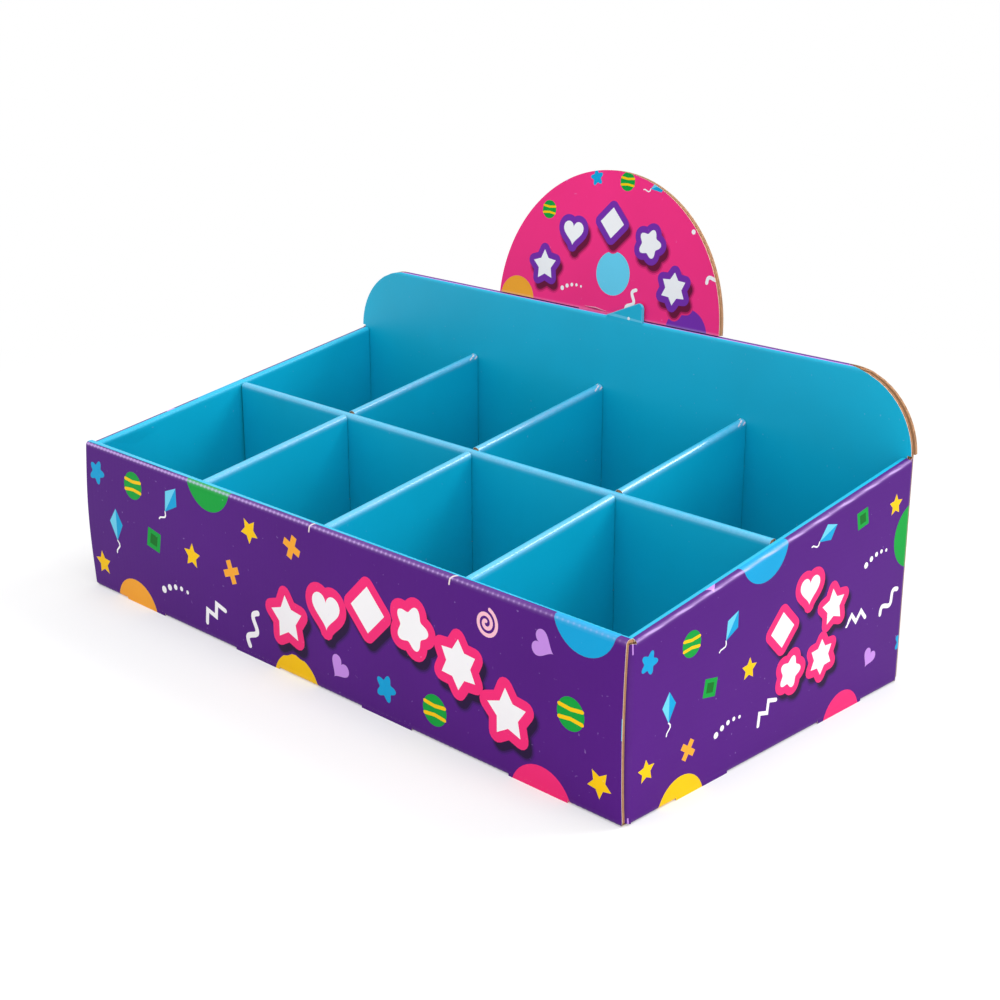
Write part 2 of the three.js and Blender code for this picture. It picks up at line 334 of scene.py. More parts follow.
def core_material():
    """The cut through the flutes: a pale wavy paper line between hollows painted dark brown as shade."""
    nodes = Nodes("fluted_core")
    wave, depth = nodes.flute_wave()
    middle = nodes.math("ADD", nodes.math("MULTIPLY", wave, BOARD * 0.3), BOARD / 2)
    off = nodes.math("ABSOLUTE", nodes.math("SUBTRACT", depth, middle))
    clear = nodes.math("MAXIMUM", nodes.math("SUBTRACT", off, FLUTE_HALF), 0)
    hollow = nodes.math("MINIMUM", nodes.math("MULTIPLY", clear, 3.0), 1.0)
    fibre = nodes.noise(700.0, 4.0)
    shaded = linear(blended(KRAFT_CORE, (80, 40, 20), 0.25))
    paper = nodes.mix(fibre, shaded, linear(blended(KRAFT_CORE, (255, 225, 190), 0.35)))
    # The hollows get a dark brown: painted shade, as the core is a flat strip with no channels in it.
    dark = nodes.mix(fibre, linear(FLUTE_HOLLOW_SHADE), linear(blended(FLUTE_HOLLOW_SHADE, KRAFT_CORE, 0.5)))
    nodes.link(nodes.mix(hollow, paper, dark), nodes.shader.inputs["Base Color"])
    nodes.shader.inputs["Roughness"].default_value = 0.85
    nodes.bump(nodes.math("SUBTRACT", 1.0, hollow), 0.5, 0.0003)
    return nodes.material


MATERIALS = {name: print_material(name) for name in INKS}
MATERIALS["kraft"] = kraft_material("kraft_liner", KRAFT_LINER)
MATERIALS["liner_edge"] = kraft_material("liner_edge", LINER_EDGE)
MATERIALS["core"] = core_material()


# Folded board

class FoldPath:
    """The print side of a board in cross-section. s is the way along it; side 1 has it on the left."""

    def __init__(self, corners, radius=FOLD_RADIUS, side=1):
        corners = [np.array(corner, float) for corner in corners]
        self.side = side
        starts, lengths, points, headings, curves = [], [], [], [], []

        def stretch(point, heading, length, curve):
            if length > 1e-6:
                starts.append(sum(lengths))
                lengths.append(length)
                points.append(point)
                headings.append(heading)
                curves.append(curve)

        here = corners[0]
        for i in range(1, len(corners)):
            way = corners[i] - corners[i - 1]
            heading = math.atan2(way[1], way[0])
            setback = sweep = 0.0
            if i + 1 < len(corners):
                onward = corners[i + 1] - corners[i]
                sweep = math.atan2(way[0] * onward[1] - way[1] * onward[0], way.dot(onward))
                setback = radius * math.tan(abs(sweep) / 2)
            unit = way / np.linalg.norm(way)
            end = corners[i] - unit * setback
            stretch(here, heading, float((end - here).dot(unit)), 0.0)
            if sweep:
                stretch(end, heading, radius * abs(sweep), math.copysign(1 / radius, sweep))
                out = onward / np.linalg.norm(onward)
                here = corners[i] + out * setback
        self.starts = np.array(starts)
        self.lengths = np.array(lengths)
        self.points = np.array(points)
        self.headings = np.array(headings)
        self.curves = np.array(curves)
        self.length = float(sum(lengths))
        self.bends = [(s, n) for s, n, c in zip(starts, lengths, curves) if c]
        self.straights = [i for i, c in enumerate(curves) if not c]

    def at(self, s):
        """Points and outward normals at the ways s."""
        i = np.clip(np.searchsorted(self.starts, s, side="right") - 1, 0, len(self.starts) - 1)
        along = s - self.starts[i]
        first = self.headings[i]
        curve = self.curves[i]
        heading = first + curve * along
        bent = np.where(curve == 0, 1.0, curve)
        du = np.where(curve == 0, along * np.cos(first), (np.sin(heading) - np.sin(first)) / bent)
        dv = np.where(curve == 0, along * np.sin(first), (np.cos(first) - np.cos(heading)) / bent)
        u = self.points[i, 0] + du
        v = self.points[i, 1] + dv
        return u, v, -self.side * np.sin(heading), self.side * np.cos(heading)

    def way(self, straight, v):
        """The way to height v on one of the straight stretches."""
        i = self.straights[straight]
        return float(self.starts[i] + (v - self.points[i][1]) / math.sin(self.headings[i]))

    def rows(self):
        """Ways where a fold needs a row of points."""
        made = []
        for start, length in self.bends:
            made += [start - CREASE_FADE, start + length + CREASE_FADE]
            made += list(np.linspace(start, start + length, FOLD_STEPS + 1))
        return [float(s) for s in made if 0 < s < self.length]

    def crease(self, s, weights=None):
        """Weight from 1 in the middle of a fold to 0 beside it: it lightens the ink there, partly as rubbing
        and partly as a painted highlight, and makes the fold glossier.
        """
        lightening = np.zeros_like(s)
        for i, (start, length) in enumerate(self.bends):
            weight = 1.0 if weights is None else weights[i]
            off = np.abs(s - start - length / 2) / (length / 2 + CREASE_FADE)
            lightening = np.maximum(lightening, weight * np.clip(1 - off * off, 0, 1) ** 2)
        return lightening

    def line(self, s, bend, share):
        """1 along one line of a fold, where a painted glint line goes, 0 a step beside it."""
        start, length = self.bends[bend]
        return np.clip(1 - np.abs(s - start - share * length) / GLINT_HALF, 0, 1)


def inside(loop, points):
    """Which points a closed outline winds round."""
    loop = np.asarray(loop, float)
    x, y = points[:, 0], points[:, 1]
    turns = np.zeros(len(points), int)
    for (x0, y0), (x1, y1) in zip(loop, np.roll(loop, -1, axis=0)):
        if y0 == y1:
            continue
        crosses = (y0 > y) != (y1 > y)
        left = x < (x1 - x0) * (y - y0) / (y1 - y0) + x0
        turns += np.where(crosses & left, 1 if y1 > y0 else -1, 0)
    return turns != 0


def no_warp(points):
    return points


class Sheet:
    """Gathers the boards of one folded piece, then makes them one mesh."""

    def __init__(self):
        self.points = []
        self.crease = []
        self.glint = []
        self.faces = []
        self.inks = []
        self.uvs = []
        self.count = 0

    def board(self, path, orient, outline, holes=(), prints=(), ground="purple",
              lift=0.0, lift_zero=0.0, lift_from=-math.inf, ribs=False, across="a", warp=no_warp,
              crease_weights=None, shine=None, core="core"):
        """One stretch of board, its outline, holes and prints flat in (a, s): along and across the folds."""
        def raised(a, s):
            return np.where(s > lift_from, lift * (a - lift_zero), 0.0)

        def place(a, s, depth):
            up = raised(a, s)
            u, v, nu, nv = path.at(s - up)
            if ribs:
                rib = np.sin(2 * np.pi * a / FLUTE_PITCH) * path.crease(s - up)
                depth = depth - RIB_HEIGHT * rib
            return warp(np.stack(orient(a, u - nu * depth, v - nv * depth + up), axis=1))

        flat, faces = self.triangles(path, outline, holes, prints, lift, lift_zero, lift_from, ribs)
        middles = flat[faces].mean(axis=1)
        kept = inside(outline, middles)
        for hole in holes:
            kept &= ~inside(hole, middles)
        faces = faces[kept]
        middles = middles[kept]
        inks = np.array([ground] * len(faces), dtype=object)
        for loop, ink in prints:
            inks[inside(loop, middles)] = ink
        used, faces = np.unique(faces, return_inverse=True)
        faces = faces.reshape(-1, 3)
        flat = flat[used]
        a, s = flat[:, 0], flat[:, 1]
        front = place(a, s, 0.0)
        back = place(a, s, BOARD)
        corners = front[faces]
        facing = np.cross(corners[:, 1] - corners[:, 0], corners[:, 2] - corners[:, 0])
        flipped = bool(np.sum(facing * (front - back)[faces[:, 0]]) < 0)
        edges = np.concatenate([faces[:, [0, 1]], faces[:, [1, 2]], faces[:, [2, 0]]])
        known = set(map(tuple, edges.tolist()))
        rim = np.array([edge for edge in known if (edge[1], edge[0]) not in known])
        way = s - raised(a, s)
        glint = None
        # shine paints a glint line along one fold, stronger at one end than the other
        if shine is not None:
            bend, share, first, last = shine
            glint = path.line(way, bend, share) * np.interp(a, (a.min(), a.max()), (first, last))
        self.add(front, path.crease(way, crease_weights), glint)
        self.add(back)
        n = len(front)
        base = self.count - 2 * n
        flute = flat if across == "a" else flat[:, ::-1]
        self.add_faces(faces + base, inks, flute[faces], flipped)
        turned_over = faces[:, ::-1]
        kraft = np.array(["kraft"] * len(faces), dtype=object)
        self.add_faces(turned_over + base + n, kraft, flute[turned_over], flipped)
        self.rim(rim, flat, flute, place, base, n, flipped, core)

    def triangles(self, path, outline, holes, prints, lift, lift_zero, lift_from, ribs):
        points, edges = [], []

        def loop(shape):
            first = len(points)
            points.extend((float(x), float(y)) for x, y in shape)
            last = len(points) - first
            edges.extend((first + i, first + (i + 1) % last) for i in range(last))

        loop(outline)
        for shape in holes:
            loop(shape)
        for shape, _ in prints:
            loop(shape)
        low = min(a for a, _ in outline) - 1
        high = max(a for a, _ in outline) + 1
        for s in path.rows():
            slope = lift if s > lift_from else 0.0
            first = len(points)
            points.extend([(low, s + slope * (low - lift_zero)), (high, s + slope * (high - lift_zero))])
            edges.append((first, first + 1))
            if ribs:
                places = np.arange(low, high, FLUTE_PITCH / 4)
                points.extend((float(a), s + slope * (float(a) - lift_zero)) for a in places)
        found = delaunay_2d_cdt(points, edges, [], 0, 1e-4)
        flat = np.array([(p[0], p[1]) for p in found[0]])
        faces = np.array([list(face)[:3] for face in found[2]])
        corners = flat[faces]
        area = np.cross(corners[:, 1] - corners[:, 0], corners[:, 2] - corners[:, 0])
        faces = faces[np.abs(area) > 1e-7]
        area = area[np.abs(area) > 1e-7]
        faces[area < 0] = faces[area < 0][:, ::-1]
        return flat, faces

    def rim(self, rim, flat, flute, place, base, n, flipped, core):
        """The raw edge: a liner's edge on each face and the fluted core set back between them."""
        way = flat[rim[:, 1]] - flat[rim[:, 0]]
        inward = np.stack([-way[:, 1], way[:, 0]], axis=1)
        inward /= np.linalg.norm(inward, axis=1)[:, None]
        total = np.zeros_like(flat)
        np.add.at(total, rim[:, 0], inward)
        np.add.at(total, rim[:, 1], inward)
        ring = np.unique(rim)
        slot = np.full(len(flat), -1)
        slot[ring] = np.arange(len(ring))
        aim = total[ring] / np.maximum(np.linalg.norm(total[ring], axis=1), 1e-6)[:, None]
        levels = ((LINER, 0.0), (LINER, EDGE_RECESS), (BOARD - LINER, EDGE_RECESS), (BOARD - LINER, 0.0))
        rings = [rim + base]
        for depth, recess in levels:
            spot = flat[ring] + aim * recess
            rings.append(slot[rim] + self.count)
            self.add(place(spot[:, 0], spot[:, 1], depth))
        rings.append(rim + base + n)
        depths = [0.0] + [depth for depth, _ in levels] + [BOARD]
        inks = ("liner_edge", "liner_edge", core, "kraft", "kraft") if core == "core" else (core,) * 5
        for i, ink in enumerate(inks):
            near, far = rings[i], rings[i + 1]
            quads = np.stack([near[:, 1], near[:, 0], far[:, 0], far[:, 1]], axis=1)
            across = flute[rim][:, :, 0]
            u = np.stack([across[:, 1], across[:, 0], across[:, 0], across[:, 1]], axis=1)
            v = np.broadcast_to(np.array([depths[i], depths[i], depths[i + 1], depths[i + 1]]), u.shape)
            plain = np.array([ink] * len(quads), dtype=object)
            self.add_faces(quads, plain, np.stack([u, v], axis=2), flipped)

    def add(self, points, crease=None, glint=None):
        none = np.zeros(len(points))
        self.points.append(points)
        self.crease.append(none if crease is None else crease)
        self.glint.append(none if glint is None else glint)
        self.count += len(points)

    def add_faces(self, faces, inks, uvs, flipped):
        if flipped:
            faces = faces[:, ::-1]
            uvs = uvs[:, ::-1]
        self.faces.extend(faces.tolist())
        self.inks.extend(inks.tolist())
        self.uvs.append(uvs.reshape(-1, 2))

    def build(self, name, node):
        mesh = bpy.data.meshes.new(name)
        mesh.from_pydata((np.concatenate(self.points) * MM).tolist(), [], self.faces)
        names = sorted(set(self.inks))
        for ink in names:
            mesh.materials.append(MATERIALS[ink])
        number = {ink: i for i, ink in enumerate(names)}
        mesh.polygons.foreach_set("material_index", [number[ink] for ink in self.inks])
        layer = mesh.uv_layers.new(name="board")
        layer.data.foreach_set("uv", np.concatenate(self.uvs).ravel())
        for label, values in (("crease", self.crease), ("glint", self.glint)):
            weight = mesh.attributes.new(label, "FLOAT", "POINT")
            weight.data.foreach_set("value", np.concatenate(values))
        mesh.shade_smooth()
        mesh.set_sharp_from_angle(angle=SHARP_ANGLE)
        mesh.validate()
        piece = bpy.data.objects.new(name, mesh)
        bpy.context.scene.collection.objects.link(piece)
        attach(piece, "root")
        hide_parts(node)
        return piece


# Ways round the box: what a board's (a, u, v) means in the frame

def lengthways(a, u, v):
    return a, u, v


def crossways(a, u, v):
    return u, a, v


def crossways_left(a, u, v):
    return -u, a, v


def upright(a, u, v):
    return u, v, a


def upright_left(a, u, v):
    return -u, v, a


def rectangle(x0, x1, y0, y1):
    return [(x0, y0), (x1, y0), (x1, y1), (x0, y1)]


# Motifs of the print, as outlines

def polar(x, y, reach, angle):
    """Places at these distances and angles from (x, y)."""
    return np.stack([x + reach * np.cos(angle), y + reach * np.sin(angle)], axis=1)


def disc(x, y, radius, steps=40):
    return polar(x, y, radius, np.linspace(0, 2 * math.pi, steps, endpoint=False))


def star(x, y, radius, points=5, waist=0.5, turn=0.0):
    angle = turn + math.pi / 2 + np.arange(2 * points) * math.pi / points
    reach = np.where(np.arange(2 * points) % 2 == 0, radius, radius * waist)
    return polar(x, y, reach, angle)


def flower(x, y, radius, petals=5, dent=0.2, turn=0.0):
    angle = np.linspace(0, 2 * math.pi, 16 * petals, endpoint=False)
    reach = radius * (1 - dent + dent * np.cos(petals * (angle - turn)))
    return polar(x, y, reach, angle)


def heart(x, y, radius, turn=0.0):
    t = np.linspace(0, 2 * math.pi, 48, endpoint=False)
    px = 16 * np.sin(t) ** 3 / 17
    py = (13 * np.cos(t) - 5 * np.cos(2 * t) - 2 * np.cos(3 * t) - np.cos(4 * t)) / 17
    loop = np.stack([px, py], axis=1)[::-1] * radius
    return turned(loop, turn) + (x, y)


def turned(loop, angle):
    c, s = math.cos(angle), math.sin(angle)
    return np.asarray(loop) @ np.array([[c, s], [-s, c]])


def polygon(x, y, radius, sides, turn=0.0):
    return polar(x, y, radius, turn + math.pi / 2 + np.arange(sides) * 2 * math.pi / sides)


def grown(loop, by, steps=5):
    """The outline moved outwards, with its corners rounded."""
    loop = np.asarray(loop, float)
    made = []
    for before, here, after in zip(np.roll(loop, 1, axis=0), loop, np.roll(loop, -1, axis=0)):
        first = (here - before) / np.linalg.norm(here - before)
        second = (after - here) / np.linalg.norm(after - here)
        n0 = np.array([first[1], -first[0]])
        n1 = np.array([second[1], -second[0]])
        bend = first[0] * second[1] - first[1] * second[0]
        if bend > 0.15:
            start = math.atan2(n0[1], n0[0])
            sweep = math.atan2(bend, first.dot(second))
            fan = start + sweep * np.arange(steps + 1) / steps
            made.extend(here + by * np.stack([np.cos(fan), np.sin(fan)], axis=1))
        else:
            made.append(here + by * (n0 + n1) / max(1 + n0.dot(n1), 1.0))
    return np.array(made)


def stroke(points, width, round_steps=6):
    """A pen line of even width with round ends."""
    points = np.asarray(points, float)
    ways = np.diff(points, axis=0)
    ways /= np.linalg.norm(ways, axis=1)[:, None]
    normals = np.stack([-ways[:, 1], ways[:, 0]], axis=1)
    joint = np.vstack([normals[:1], normals[:-1] + normals[1:], normals[-1:]])
    scale = np.ones(len(points))
    scale[1:-1] = 1 / (1 + np.sum(normals[:-1] * normals[1:], axis=1))
    side = joint * scale[:, None] * width / 2
    fan = np.linspace(0, math.pi, round_steps + 2)[1:-1]
    end = math.atan2(normals[-1][1], normals[-1][0]) - fan
    start = math.atan2(-normals[0][1], -normals[0][0]) - fan
    cap = points[-1] + width / 2 * np.stack([np.cos(end), np.sin(end)], axis=1)
    foot = points[0] + width / 2 * np.stack([np.cos(start), np.sin(start)], axis=1)
    return np.vstack([points + side, cap, (points - side)[::-1], foot])[::-1]


def zigzag(x, y, length, rise, teeth, width, turn=0.0):
    along = np.linspace(-length / 2, length / 2, teeth + 1)
    up = np.where(np.arange(teeth + 1) % 2 == 0, -rise / 2, rise / 2)
    return stroke(turned(np.stack([along, up], axis=1), turn) + (x, y), width)


def wave(x, y, length, rise, humps, width, turn=0.0):
    along = np.linspace(-length / 2, length / 2, 10 * humps + 1)
    up = rise / 2 * np.sin((along / length + 0.5) * math.pi * humps)
    return stroke(turned(np.stack([along, up], axis=1), turn) + (x, y), width)


def spiral(x, y, radius, turns, width):
    t = np.linspace(0.12, 1, int(22 * turns))
    return stroke(polar(x, y, radius * t, t * turns * 2 * math.pi), width)


def cross(x, y, radius, width, turn=0.0):
    w = width / 2
    corner = [(w, w), (w, radius), (-w, radius), (-w, w), (-radius, w), (-radius, -w),
              (-w, -w), (-w, -radius), (w, -radius), (w, -w), (radius, -w), (radius, w)]
    return turned(corner, turn) + (x, y)


def bead_line(x0, y0, x1, y1, sag, count, radius, ink):
    """Dots that shrink along a gentle curve."""
    made = []
    for i in range(count):
        t = i / (count - 1)
        x = x0 + (x1 - x0) * t
        y = y0 + (y1 - y0) * t + sag * 4 * t * (1 - t)
        made.append((disc(x, y, radius * (1.1 - 0.5 * t), 20), ink))
    return made


def ball(x, y, radius, ink, band):
    """A disc with two curved bands."""
    made = [(disc(x, y, radius), ink)]
    for shift in (-0.38, 0.38):
        half = radius * math.sqrt(1 - shift * shift) * 0.93
        level = y + shift * radius
        points = [(x - half, level), (x, y + shift * radius * 0.75), (x + half, level)]
        made.append((stroke(points, radius * 0.24, 2), band))
    return made


def kite(x, y, radius, turn, ink, half_ink, tail_ink):
    """A two-tone kite with a short wavy tail."""
    wing = 0.62 * radius
    rise = 0.1 * radius
    whole = turned([(0, radius), (-wing, rise), (0, -radius), (wing, rise)], turn)
    half = turned([(0, radius), (-wing, rise), (0, -radius)], turn)
    tail = turned([(0.18 * radius * math.sin(k), -radius - 0.16 * radius * k) for k in range(6)], turn)
    return [(stroke(tail + (x, y), radius * 0.1), tail_ink),
            (whole + (x, y), ink),
            (half + (x, y), half_ink)]


def badge(shapes, edge, edge_ink, shadow_inks, drop):
    """A cluster of white shapes that share one coloured outline and one soft shadow."""
    made = []
    for step, ink in enumerate(shadow_inks):
        spread = edge + 0.9 * (len(shadow_inks) - 1 - step) - 0.6
        made += [(grown(shape, spread) + np.array(drop), ink) for shape in shapes]
    made += [(grown(shape, edge), edge_ink) for shape in shapes]
    return made + [(shape, "white") for shape in shapes]


# The prints, each drawn on its own panel with x to the right and y up as one looks at it

SPRINKLES = (
    lambda x, y, r, turn: [(star(x, y, r, turn=turn), "yellow")],
    lambda x, y, r, turn: [(wave(x, y, 3 * r, 0.8 * r, 3, 0.42 * r, turn), "white")],
    lambda x, y, r, turn: ball(x, y, 1.1 * r, "green", "yellow"),
    lambda x, y, r, turn: [(cross(x, y, 0.9 * r, 0.55 * r, turn), "orange")],
    lambda x, y, r, turn: [(spiral(x, y, r, 2.2, 0.26 * r), "pale_pink")],
    lambda x, y, r, turn: kite(x, y, 1.3 * r, turn, "sky", "teal_light", "white"),
    lambda x, y, r, turn: bead_line(x - 1.5 * r, y, x + 1.5 * r, y + 0.6 * r, 0.3 * r, 5, 0.26 * r, "white"),
    lambda x, y, r, turn: [(heart(x, y, r, turn), "lilac")],
    lambda x, y, r, turn: [(polygon(x, y, 1.1 * r, 4, turn), "green"),
                           (polygon(x, y, 0.6 * r, 4, turn), "dark_green")],
    lambda x, y, r, turn: [(zigzag(x, y, 2.8 * r, 0.8 * r, 4, 0.36 * r, turn), "white")],
    lambda x, y, r, turn: [(flower(x, y, r, turn=turn), "sky")],
)


def sprinkled(columns, rows, first, step, radius, taken):
    """A staggered lattice of small motifs, left out where a large one lies."""
    made = []
    for j in range(rows):
        for i in range(columns):
            x = first[0] + step[0] * (i + (j % 2) / 2)
            y = first[1] + step[1] * j
            if all(math.hypot(x - cx, y - cy) > reach + 1.5 * radius for cx, cy, reach in taken):
                turn = 0.6 * ((i + 2 * j) % 5 - 2)
                made += SPRINKLES[(3 * i + 5 * j) % len(SPRINKLES)](x, y, radius, turn)
    return made


def motif_set(places, radius):
    """Large white motifs, one of each kind in turn."""
    kinds = (lambda x, y: star(x, y, radius, waist=0.55, turn=0.1),
             lambda x, y: heart(x, y, 0.88 * radius),
             lambda x, y: polygon(x, y, 0.95 * radius, 4),
             lambda x, y: flower(x, y, 0.9 * radius, dent=0.16),
             lambda x, y: star(x, y, radius, 6, 0.62))
    return [kinds[i % len(kinds)](x, y) for i, (x, y) in enumerate(places)]


def around(x, y, radius, start, sweep, count):
    """Places at even steps on an arc."""
    angles = np.radians(np.linspace(start, start + sweep, count))
    return [(x + radius * math.cos(angle), y + radius * math.sin(angle)) for angle in angles]


def pattern(big, places, radius, edge, inks, drop, lattice):
    """Large discs cut by the panel's edges, a lattice of small motifs and one outlined set of large ones."""
    taken = [(x, y, reach) for x, y, reach, _ in big] + [(x, y, radius + edge) for x, y in places]
    made = [(disc(x, y, reach), ink) for x, y, reach, ink in big]
    made += sprinkled(*lattice, taken)
    return made + badge(motif_set(places, radius), edge, inks[0], inks[1], drop)


def front_print():
    """For the front wall: an arch of motifs right of the middle."""
    big = [(-158, -5, 19, "orange"), (-86, 91, 19, "green"), (-18, -6, 18, "yellow"), (176, 90, 18, "sky"),
           (152, -7, 19, "pink")]
    places = [(-24 + 31 * i, 30 + 24 * math.sin(math.pi * i / 5)) for i in range(6)]
    return pattern(big, places, 12.6, 5.0, ("pink", SHADES), (2.8, -3.8), (12, 3, (-188, 16), (34, 27), 7.2))


def side_print():
    """For a side wall: x runs from the front corner, 0, to the back. Its motifs make a ring."""
    big = [(38, -5, 16, "yellow"), (92, 103, 17, "sky"), (160, -4, 15, "pink"), (214, 78, 17, "green")]
    places = around(128, 52, 21, 18, 288, 5)
    return pattern(big, places, 9.2, 3.9, ("pink", SHADES), (2.2, -3.2), (8, 4, (14, 22), (28, 25), 5.6))


def header_print():
    """For the header card: x from its centre and y from its seat. Its motifs follow the round edge."""
    big = [(-66, -2, 13, "orange"), (58, -3, 14, "violet"), (4, 22, 12, "teal_light")]
    places = around(0, -3, 52, 154, -128, 5)
    return pattern(big, places, 8.8, 3.6, ("violet", BLUSHES), (2.2, -3.4), (7, 4, (-69, 9), (22, 21), 4.6))


# Tray

def wavering_edge(height, inset):
    """Where the front panel's raw side edge lies: it bows in a little between the two corners."""
    t = 2 * height / FRONT_HEIGHT - 1
    return HALF_WIDTH - inset - EDGE_BOW * (1 - t * t)


def bulged(points):
    """The front left corner bellies out a little, as it does on the real box."""
    x, y, z = points[:, 0], points[:, 1], points[:, 2]
    level = np.sin(np.pi * np.clip(z / FRONT_HEIGHT, 0, 1))
    near_x = np.exp(-((x + HALF_WIDTH) / BULGE_REACH_X) ** 2)
    near = near_x * np.exp(-((y + HALF_DEPTH) / BULGE_REACH_Y) ** 2)
    moved = points.copy()
    moved[:, 0] -= BULGE_X * level * near
    moved[:, 1] -= BULGE_Y * level * near
    return moved


def shifted(prints, move):
    return [(move(np.asarray(loop, float)), ink) for loop, ink in prints]


def tab_feet(end):
    """The outline of the tabs at a wall's inner foot, from the right to the left."""
    half = TAB_LENGTH / 2
    loop = []
    for x in reversed(TAB_COLUMNS):
        loop += [(x + half, end), (x + half, end + DIVIDER_FOOT),
                 (x - half, end + DIVIDER_FOOT), (x - half, end)]
    return loop


def slots(centres, low, high):
    """Slots for the lock tabs, side by side between two lines."""
    return [rectangle(c - SLOT_LENGTH / 2, c + SLOT_LENGTH / 2, low, high) for c in centres]


def front_wall(sheet):
    path = FoldPath([(-BASE_Y, 0), (-HALF_DEPTH, 0), (-HALF_DEPTH, FRONT_HEIGHT),
                     (FRONT_INNER, FRONT_HEIGHT), (FRONT_INNER, DIVIDER_FOOT)])
    foot = path.way(0, v=0)
    roof = path.bends[1][0]
    roof_end = path.bends[2][0] + path.bends[2][1]
    inner_foot = path.length
    heights = np.linspace(FOLD_RADIUS, FRONT_HEIGHT - FOLD_RADIUS, 13)
    right = [(BASE_X, 0.0), (HALF_WIDTH - FRONT_EDGE_INSET, path.bends[0][1])]
    right += [(wavering_edge(z, FRONT_EDGE_INSET), foot + z) for z in heights[1:-1]]
    roof_side = HALF_WIDTH - FRONT_ROOF_INSET
    right += [(roof_side, roof), (roof_side, roof_end), (INNER_HALF, roof_end + 0.1)]
    right += [(INNER_HALF, inner_foot)]
    outline = right + tab_feet(inner_foot) + [(-x, s) for x, s in reversed(right)]
    holes = slots(TAB_COLUMNS, -1, path.bends[0][1])
    prints = shifted(front_print(), lambda loop: loop + (0, foot))
    for x in NICKS:
        nick = [(x + 1.4, roof_end - 1.0), (x - 3.4, roof + 0.6), (x - 4.0, roof - 2.2)]
        prints.append((stroke(nick, 0.9), "bare"))
    crest = path.bends[1][0] + path.bends[1][1]
    teal = [(-HALF_WIDTH - 5, crest - 1.0), (0, crest + 0.1), (HALF_WIDTH / 2, crest + 0.7),
            (HALF_WIDTH, path.bends[2][0] - 0.3), (HALF_WIDTH, path.length + 5),
            (-HALF_WIDTH - 5, path.length + 5)]
    prints.append((teal, "teal"))
    sheet.board(path, lengthways, outline, holes, prints, ribs=True, warp=bulged,
                crease_weights=(0.1, 0.45, 0.3), shine=FRONT_GLINT)
    lips = FoldPath([(-HALF_DEPTH, 0), (-HALF_DEPTH, FOLD_RADIUS)])
    for lip in slots(TAB_COLUMNS, 0, FOLD_RADIUS):
        sheet.board(lips, lengthways, lip, prints=front_print(), warp=bulged)


def back_edge(height):
    """Half the back wall's width at a height, where its top corners are rounded."""
    up = np.clip(height - (BACK_HEIGHT - BACK_CORNER_RADIUS), 0, BACK_CORNER_RADIUS)
    return HALF_WIDTH - BACK_CORNER_RADIUS + np.sqrt(BACK_CORNER_RADIUS ** 2 - up ** 2)


def back_wall(sheet):
    path = FoldPath([(BASE_Y, 0), (HALF_DEPTH, 0), (HALF_DEPTH, BACK_HEIGHT),
                     (BACK_INNER, BACK_HEIGHT), (BACK_INNER, DIVIDER_FOOT)], side=-1)
    shoulder = SIDE_BACK_HEIGHT + FIT
    outer_shoulder = path.way(0, v=shoulder)
    inner_shoulder = path.way(2, v=shoulder)
    inset = HALF_WIDTH - PANEL_INSET
    right = [(BASE_X, 0.0), (inset, path.bends[0][1]), (inset, outer_shoulder)]
    ways = np.concatenate([np.linspace(outer_shoulder, path.bends[1][0], 14),
                           np.linspace(path.bends[1][0], path.bends[2][0] + path.bends[2][1], 13)[1:-1],
                           np.linspace(path.bends[2][0] + path.bends[2][1], inner_shoulder, 14)])
    heights = path.at(ways)[1]
    right += [(float(back_edge(z)), float(s)) for s, z in zip(ways, heights)]
    right += [(INNER_HALF, inner_shoulder), (INNER_HALF, path.length)]
    outline = right + tab_feet(path.length) + [(-x, s) for x, s in reversed(right)]
    roof = path.bends[1][0] + path.bends[1][1]
    roof_end = path.bends[2][0]
    holes = slots(TAB_COLUMNS, -1, path.bends[0][1])
    holes.append(rectangle(-TONGUE_HALF - FIT, TONGUE_HALF + FIT, roof - 0.4, roof_end + 0.4))
    holes.append(rectangle(KEEPER_LEFT, KEEPER_RIGHT, roof_end - 0.2, path.bends[2][0] + path.bends[2][1]))
    # The teal starts a third of the way round the inner top fold; the thin lilac line just before it is a
    # painted highlight along the crest.
    pale = path.bends[2][0] + path.bends[2][1] / 3
    prints = [(rectangle(-HALF_WIDTH - 1, HALF_WIDTH + 1, pale, path.length + 5), "teal"),
              (rectangle(-HALF_WIDTH - 1, HALF_WIDTH + 1, pale - 0.5, pale), "lilac")]
    sheet.board(path, lengthways, outline, holes, prints, crease_weights=(0.1, 0.3, 0.12))
    lips = FoldPath([(HALF_DEPTH, 0), (HALF_DEPTH, FOLD_RADIUS)], side=-1)
    for lip in slots(TAB_COLUMNS, 0, FOLD_RADIUS):
        sheet.board(lips, lengthways, lip)


